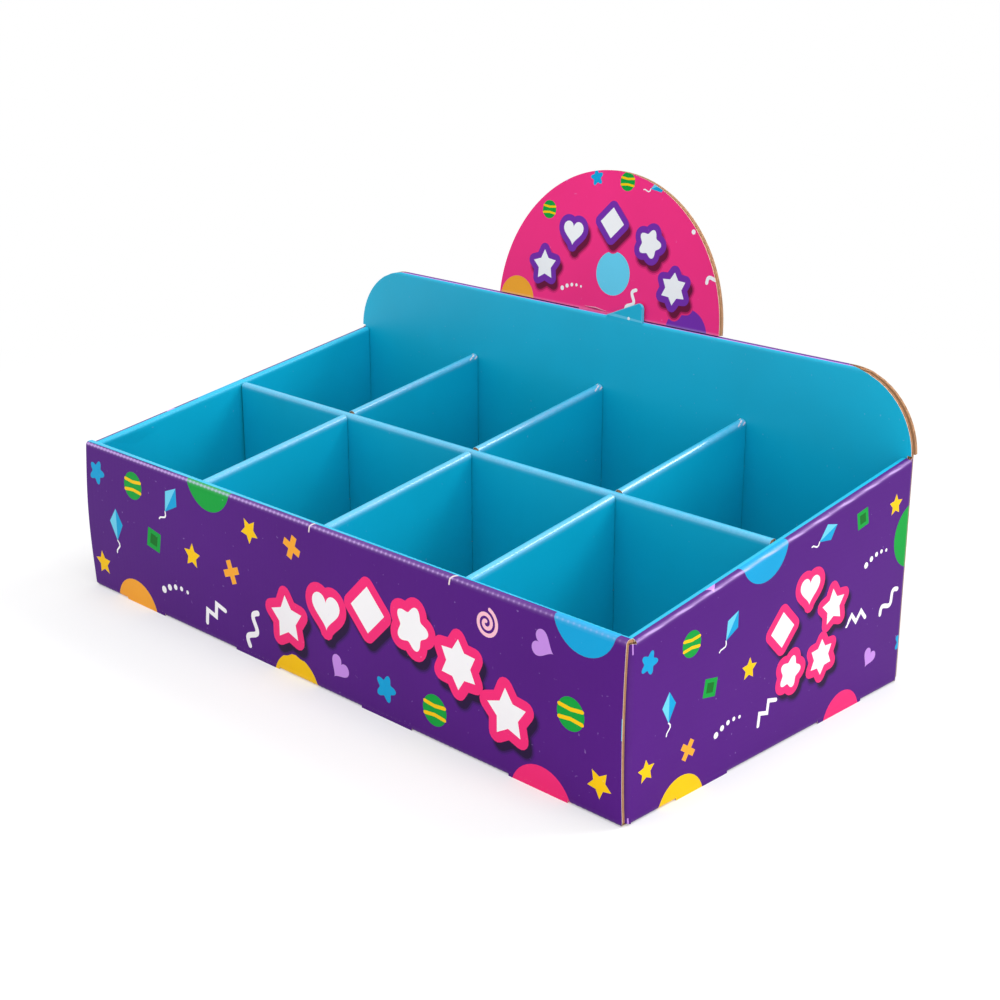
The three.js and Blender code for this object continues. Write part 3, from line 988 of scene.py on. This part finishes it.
def keeper(sheet):
    """The slanted tab that stands up from the top fold in front of the header."""
    root = BACK_HEIGHT - FOLD_RADIUS
    path = FoldPath([(BACK_INNER, root), (BACK_INNER, BACK_HEIGHT + KEEPER_HEIGHT)])
    corner = np.radians(np.linspace(0, 100, 8))
    top = FOLD_RADIUS + KEEPER_HEIGHT
    centre = (KEEPER_RIGHT - KEEPER_CORNER, top - KEEPER_CORNER)
    outline = [(KEEPER_LEFT, 0), (KEEPER_RIGHT, 0)]
    outline += [(centre[0] + KEEPER_CORNER * math.cos(t), centre[1] + KEEPER_CORNER * math.sin(t))
                for t in corner]
    outline += [(KEEPER_LEFT, FOLD_RADIUS + 0.3)]
    # Painted light on the keeper: a pale teal band at its foot, pale teal strips along the slanted top and
    # the right edge, a white highlight spot, and pale teal raw edges for the light catching its rim.
    foot_highlight = [(KEEPER_LEFT, 2.3), (KEEPER_RIGHT, 1.5), (KEEPER_RIGHT, 2.6), (KEEPER_LEFT + 2, 4.0)]
    prints = [(foot_highlight, "teal_light"),
              (stroke([outline[-1], outline[-2]], 0.9), "teal_light"),
              (stroke([(KEEPER_RIGHT, 2), (KEEPER_RIGHT, top - KEEPER_CORNER)], 0.9), "teal_light"),
              (disc(20, 2.6, 0.9, 12), "white")]
    sheet.board(path, lengthways, outline, prints=prints, ground="teal", core="teal_light")


def side_wall(sheet, orient, warp, prints):
    path = FoldPath([(BASE_X, 0), (HALF_WIDTH, 0), (HALF_WIDTH, SIDE_FRONT_HEIGHT),
                     (SIDE_INNER, SIDE_FRONT_HEIGHT), (SIDE_INNER, DIVIDER_FOOT)], side=-1)
    foot = path.way(0, v=0)
    zero = -HALF_DEPTH
    roof_low = FRONT_INNER + FIT
    roof_high = BACK_INNER - FIT
    crease = path.bends[1][0]

    def sloped(y, s, times=1):
        return y, s + times * SIDE_SLOPE * (y - zero)

    inner_foot = path.length
    outline = [(SIDE_LOW, 0.0), (SIDE_HIGH, 0.0),
               sloped(SIDE_HIGH, crease + 1.6), sloped(roof_high, crease + 1.7),
               sloped(roof_high, inner_foot, 2), sloped(roof_low, inner_foot, 2),
               sloped(roof_low, crease + 0.4), sloped(SIDE_LOW, crease + 0.3)]
    holes = slots(TAB_ROWS, -1, path.bends[0][1])
    panel = shifted(prints, lambda loop: loop + (zero, foot))
    roof = path.bends[2][0] - 1.2
    teal = [sloped(SIDE_LOW - 5, roof), sloped(SIDE_HIGH + 5, roof),
            sloped(SIDE_HIGH + 5, inner_foot + 90, 1), sloped(SIDE_LOW - 5, inner_foot + 90, 1)]
    sheet.board(path, orient, outline, holes, panel + [(teal, "teal")], lift=SIDE_SLOPE, lift_zero=zero,
                lift_from=path.way(0, v=SIDE_FRONT_HEIGHT / 2), across="s", warp=warp,
                crease_weights=(0.1, 0.3, 0.2), shine=SIDE_GLINT)
    lips = FoldPath([(HALF_WIDTH, 0), (HALF_WIDTH, FOLD_RADIUS)], side=-1)
    plain = shifted(prints, lambda loop: loop + (zero, 0))
    for lip in slots(TAB_ROWS, 0, FOLD_RADIUS):
        sheet.board(lips, orient, lip, prints=plain, across="s", warp=warp)
    tabs = FoldPath([(SIDE_INNER, FOLD_RADIUS), (SIDE_INNER, 0)], side=-1)
    half = TAB_LENGTH / 2
    for y in TAB_ROWS:
        tab = rectangle(y - half, y + half, 0, FOLD_RADIUS)
        sheet.board(tabs, orient, tab, ground="teal", across="s", warp=warp)


def corner(sheet, orient, towards, warp, prints):
    """A side wall's vertical fold and the flap behind the front (towards -1) or back (towards 1) panel."""
    face = towards * (HALF_DEPTH - BOARD - LAYER_GAP)
    start = SIDE_LOW if towards < 0 else SIDE_HIGH
    path = FoldPath([(HALF_WIDTH, start), (HALF_WIDTH, face), (HALF_WIDTH - FLAP_LENGTH, face)],
                    FLAP_FOLD_RADIUS, side=-towards)
    top = SIDE_FRONT_HEIGHT - FIT if towards < 0 else SIDE_BACK_HEIGHT - 0.8
    sink = 1.4
    bend = path.bends[0][1]
    outline = [(0.5, 0.0), (top - 0.2, 0.0), (top, bend * 0.5),
               (top - sink, bend), (top - sink, path.length - 12),
               (top - 20, path.length), (20, path.length), (DIVIDER_FOOT, bend)]

    def wrapped(loop):
        way = (start + HALF_DEPTH - loop[:, 0]) * -towards
        return np.stack([loop[:, 1], way], axis=1)

    sheet.board(path, orient, outline, prints=shifted(prints, wrapped), warp=warp, crease_weights=(0.12,))


def base(sheet):
    path = FoldPath([(-BASE_Y, 0), (BASE_Y, 0)], side=-1)
    slot = SLOT_LENGTH / 2
    outline = rectangle(-BASE_X, BASE_X, 0, 2 * BASE_Y)
    front = FRONT_WALL + FIT - FOLD_RADIUS
    back = 2 * BASE_Y - (BACK_WALL + FIT - FOLD_RADIUS)
    reach = HALF_WIDTH - SIDE_WALL - FIT
    holes = []
    for x in TAB_COLUMNS:
        holes += slots((x,), -1, front) + slots((x,), back, 2 * BASE_Y + 1)
    for y in TAB_ROWS:
        holes.append(rectangle(reach, HALF_WIDTH, y + BASE_Y - slot, y + BASE_Y + slot))
        holes.append(rectangle(-HALF_WIDTH, -reach, y + BASE_Y - slot, y + BASE_Y + slot))
    sheet.board(path, lengthways, outline, holes)


def make_tray():
    sheet = Sheet()
    base(sheet)
    front_wall(sheet)
    back_wall(sheet)
    keeper(sheet)
    right = side_print()
    scuffs = [(stroke([(3.6, 79.0), (3.4, 83.6)], 0.6), "lilac"),
              (stroke([(3.4, 0.8), (3.2, 3.4)], 0.7), "lilac")]
    side_wall(sheet, crossways, no_warp, right)
    corner(sheet, upright, -1, no_warp, right + scuffs)
    corner(sheet, upright, 1, no_warp, right)
    side_wall(sheet, crossways_left, bulged, right)
    corner(sheet, upright_left, -1, bulged, right)
    corner(sheet, upright_left, 1, bulged, right)
    sheet.build("tray_sheet", "tray")


# Dividers

def divider_top(y):
    return DIVIDER_FRONT_HEIGHT + DIVIDER_SLOPE * (y - FRONT_INNER)


def doubled(centre, top):
    half = DIVIDER_THICKNESS / 2
    return FoldPath([(centre + half, DIVIDER_FOOT), (centre + half, top), (centre - half, top),
                     (centre - half, DIVIDER_FOOT)], DIVIDER_FOLD_RADIUS, side=-1)


LAP_HEIGHT = (DIVIDER_FOOT + divider_top(LONG_Y)) / 2
SLOT_HALF = DIVIDER_THICKNESS / 2 + FIT

# Bare flecks at a cross divider's back end: how far in front of it and how far over its fold they lie
FLECKS = ((2.2, 0.4), (3.4, 2.2), (1.6, 4.4), (6.0, 1.0))


def make_long_divider():
    path = doubled(LONG_Y, divider_top(LONG_Y))
    reach = SIDE_INNER - DIVIDER_END_GAP
    up = LAP_HEIGHT + FIT / 2 - DIVIDER_FOOT
    holes = []
    for x in CROSS_X:
        holes.append(rectangle(x - SLOT_HALF, x + SLOT_HALF, -1, up))
        holes.append(rectangle(x - SLOT_HALF, x + SLOT_HALF, path.length - up, path.length + 1))
    sheet = Sheet()
    # High crease weights paint bright highlight lines along the divider's top folds, broken up by noise
    sheet.board(path, lengthways, rectangle(-reach, reach, 0, path.length), holes, ground="teal",
                crease_weights=(1.6, 1.2))
    sheet.build("long_divider_board", "long_divider_1")


def make_cross_divider(number, x):
    path = doubled(x, divider_top(0))
    low = FRONT_INNER + DIVIDER_END_GAP
    high = BACK_INNER - FIT

    def lifted(y, s, times):
        return y, s + times * DIVIDER_SLOPE * y

    outline = [(low, 0.0), (high, 0.0), lifted(high, path.length, 2), lifted(low, path.length, 2)]
    up = LAP_HEIGHT - FIT / 2 - DIVIDER_FOOT
    near, far = LONG_Y - SLOT_HALF, LONG_Y + SLOT_HALF
    slot = [(near, up), (far, up), lifted(far, path.length - up, 2), lifted(near, path.length - up, 2)]
    top = path.bends[0][0]
    flecks = []
    for back, across in FLECKS:
        ends = [lifted(high - back, top + across, 1), lifted(high - back + 1.6, top + across + 0.7, 1)]
        flecks.append((stroke(ends, 0.8), "bare"))
    sheet = Sheet()
    # High crease weights paint bright highlight lines along the divider's top folds, broken up by noise
    sheet.board(path, crossways, outline, [slot], flecks, "teal", DIVIDER_SLOPE, crease_weights=(1.7, 0.9))
    sheet.build(f"cross_divider_board_{number}", f"cross_divider_{number}")


# Header card

# A painted highlight (pale) and a painted shade line (dark) in the bend over the tongue, standing for a
# small buckle there
HEADER_BEND_HIGHLIGHT_AND_SHADE = [
    ([(-15, 1.6), (-6, 2.1), (3, 0.9), (-6, 1.6)], "pale_pink"),
    ([(-15, 1.4), (-6, 1.7), (3, 0.7), (-6, 0.5)], "blush_2"),
]


def make_header():
    thickness = 2 * BOARD + HEADER_GLUE
    face = BACK_INNER + BOARD + LAYER_GAP
    seat = BACK_HEIGHT + FIT + math.sin(HEADER_LEAN) * thickness / 2
    drop = seat - BACK_HEIGHT + HEADER_DROP
    turn = np.linspace(math.asin(drop / HEADER_RADIUS), math.pi - math.asin(drop / HEADER_RADIUS), 120)
    rise = np.array([math.sin(HEADER_LEAN), math.cos(HEADER_LEAN)])
    behind = np.array([math.cos(HEADER_LEAN), -math.sin(HEADER_LEAN)])
    crease = np.array([face, seat])
    tongue = (face, BACK_HEIGHT - TONGUE_DEPTH)
    front = FoldPath([tongue, crease, crease + rise * HEADER_RADIUS], HEADER_BEND_RADIUS)
    start = TONGUE_DEPTH + seat - BACK_HEIGHT
    round_top = [(HEADER_RADIUS * math.cos(t), start - drop + HEADER_RADIUS * math.sin(t)) for t in turn]
    outline = [(-TONGUE_HALF, 0), (TONGUE_HALF, 0), (TONGUE_HALF, start)]
    outline += round_top + [(-TONGUE_HALF, start)]
    prints = shifted(header_print() + HEADER_BEND_HIGHLIGHT_AND_SHADE, lambda loop: loop + (0, start))
    sheet = Sheet()
    sheet.board(front, lengthways, outline, prints=prints, ground="header_pink")
    rear_foot = crease + behind * thickness
    rear = FoldPath([rear_foot, rear_foot + rise * HEADER_RADIUS], side=-1)
    rear_round = [(x, s - start) for x, s in round_top]
    sheet.board(rear, lengthways, rear_round, ground="header_pink")
    sheet.build("header_board", "header_card")


# Studio

FLOOR_SIZE = 30.0
FLOOR_COLOUR = (0.9, 0.9, 0.9, 1)
WORLD_LIGHT = 0.75
FLOOR_WHITE_LEAST = 0.35
FLOOR_WHITE_FROM = 0.2
FLOOR_WHITE_TO = 0.75

# Each lamp's place and the place it is aimed at in metres, its side in metres and its power in watts
LAMPS = {
    "key": ((0.75, 1.25, 1.5), (0, 0, 0.08), 0.8, 16.8),
    "top": ((0.1, -0.3, 1.9), (0, 0, 0.05), 1.4, 16.8),
    "right": ((1.5, 0.05, 0.75), (0, 0, 0.06), 0.8, 4),
}


def seen_directly(tree):
    """1 for what the camera sees, also in gloss and through glass."""
    path = tree.nodes.new("ShaderNodeLightPath")
    total = path.outputs["Is Camera Ray"]
    for name in ("Is Glossy Ray", "Is Transmission Ray"):
        add = tree.nodes.new("ShaderNodeMath")
        add.operation = "MAXIMUM"
        tree.links.new(total, add.inputs[0])
        tree.links.new(path.outputs[name], add.inputs[1])
        total = add.outputs[0]
    return total


def add_world():
    world = bpy.data.worlds.new("studio")
    world.use_nodes = True
    tree = world.node_tree
    background = tree.nodes["Background"]
    background.inputs["Color"].default_value = (1, 1, 1, 1)
    level = tree.nodes.new("ShaderNodeMapRange")
    level.inputs["To Min"].default_value = WORLD_LIGHT
    level.inputs["To Max"].default_value = 1.0
    tree.links.new(seen_directly(tree), level.inputs["Value"])
    tree.links.new(level.outputs[0], background.inputs["Strength"])
    bpy.context.scene.world = world


def add_floor():
    """A pale floor that keeps the soft shadow near the box and runs out into white."""
    half = FLOOR_SIZE / 2
    mesh = bpy.data.meshes.new("floor")
    corners = [(x, y, 0) for x, y in rectangle(-half, half, -half, half)]
    mesh.from_pydata(corners, [], [(0, 1, 2, 3)])
    floor = bpy.data.objects.new("floor", mesh)
    bpy.context.scene.collection.objects.link(floor)
    nodes = Nodes("floor")
    nodes.tree.nodes.remove(nodes.shader)
    matt = nodes.add("ShaderNodeBsdfDiffuse")
    matt.inputs["Color"].default_value = FLOOR_COLOUR
    white = nodes.add("ShaderNodeEmission")
    distance = nodes.add("ShaderNodeVectorMath", operation="LENGTH")
    nodes.link(nodes.add("ShaderNodeTexCoord").outputs["Object"], distance.inputs[0])
    fade = nodes.add("ShaderNodeMapRange", interpolation_type="SMOOTHSTEP")
    fade.inputs["From Min"].default_value = FLOOR_WHITE_FROM
    fade.inputs["From Max"].default_value = FLOOR_WHITE_TO
    fade.inputs["To Min"].default_value = FLOOR_WHITE_LEAST
    nodes.link(distance.outputs["Value"], fade.inputs["Value"])
    share = nodes.math("MULTIPLY", fade.outputs[0], seen_directly(nodes.tree))
    mix = nodes.add("ShaderNodeMixShader")
    for socket, source in zip(mix.inputs, (share, matt.outputs[0], white.outputs[0])):
        nodes.link(source, socket)
    nodes.link(mix.outputs[0], nodes.tree.nodes["Material Output"].inputs["Surface"])
    mesh.materials.append(nodes.material)


def add_softbox(name, place, aim, size, power):
    data = bpy.data.lights.new(name, "AREA")
    data.shape = "RECTANGLE"
    data.size = data.size_y = size
    data.energy = power
    lamp = bpy.data.objects.new(name, data)
    lamp.location = place
    way = np.array(aim) - np.array(place)
    flat = math.hypot(way[0], way[1])
    lamp.rotation_euler = (math.pi / 2 + math.atan2(way[2], flat), 0, math.atan2(-way[0], way[1]))
    bpy.context.scene.collection.objects.link(lamp)


add_camera()
make_tray()
make_long_divider()
for index, place_x in enumerate(CROSS_X, start=1):
    make_cross_divider(index, place_x)
make_header()
add_world()
add_floor()
for lamp_name, lamp in LAMPS.items():
    add_softbox(lamp_name, *lamp)
bpy.context.scene.view_settings.view_transform = "Standard"
